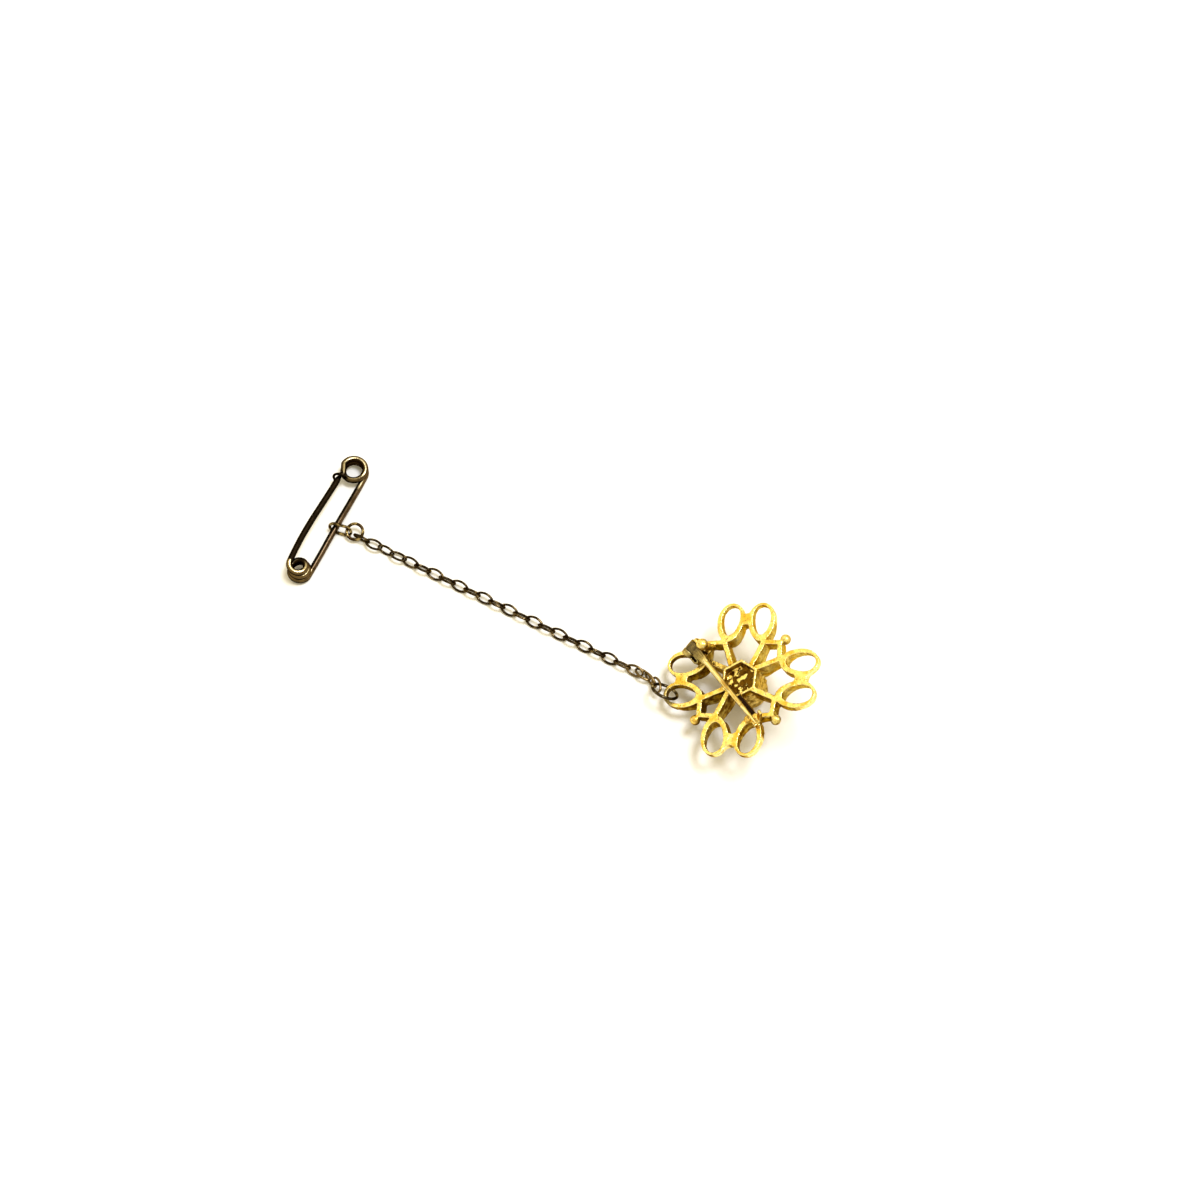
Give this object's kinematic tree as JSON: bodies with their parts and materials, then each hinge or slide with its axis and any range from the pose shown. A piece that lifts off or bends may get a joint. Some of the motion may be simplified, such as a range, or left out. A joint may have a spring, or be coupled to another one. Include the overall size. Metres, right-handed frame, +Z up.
{
  "type": "brooch pin",
  "caption": "Openwork flower brooch lying face down, with a hinged pin and C catch, and a guard chain of oval links that ends in a small safety pin.",
  "frame": {"origin": "middle of the whole object's box on the surface it lies on", "axes": "+X along the chain from the safety pin to the flower, +Z up"},
  "size_m": [0.08, 0.0258, 0.0112],
  "materials": {
    "cast_gold": "cast, worn gold, brown in its recesses",
    "pin_gold": "drawn gold, dull and greyish at the hinge",
    "dark_ring": "dull, tarnished",
    "chain_metal": "tarnished, pale where rubbed",
    "brass_ring": "polished by wear",
    "tarnished_brass": "brown tarnish, pinkish brass where rubbed"
  },
  "bodies": {
    "brooch": {"flower_frame": "cast_gold", "hinge_rivet": "pin_gold", "flower_ring": "dark_ring", "link_01": "chain_metal", "link_02": "chain_metal", "link_03": "chain_metal", "link_04": "chain_metal", "link_05": "chain_metal", "link_06": "chain_metal", "link_07": "chain_metal", "link_08": "chain_metal", "link_09": "chain_metal", "link_10": "chain_metal", "link_11": "chain_metal", "link_12": "chain_metal", "link_13": "chain_metal", "link_14": "chain_metal", "link_15": "chain_metal", "link_16": "chain_metal", "link_17": "chain_metal", "link_18": "chain_metal", "link_19": "chain_metal", "link_20": "chain_metal", "link_21": "chain_metal", "link_22": "chain_metal", "link_23": "chain_metal", "link_24": "chain_metal", "link_25": "chain_metal", "link_26": "chain_metal", "pin_ring_round": "brass_ring", "pin_ring_oval": "brass_ring", "safety_pin": "tarnished_brass"},
    "stem": {"pin_stem": "pin_gold"}
  },
  "joints": [
    {"name": "pin_hinge", "type": "hinge", "parent": "brooch", "child": "stem", "pos_m": [0.02055, 0.00293, 0.0058], "axis": [-0.2916, -0.7533, -0.5895], "range_deg": [0, 100]}
  ]
}
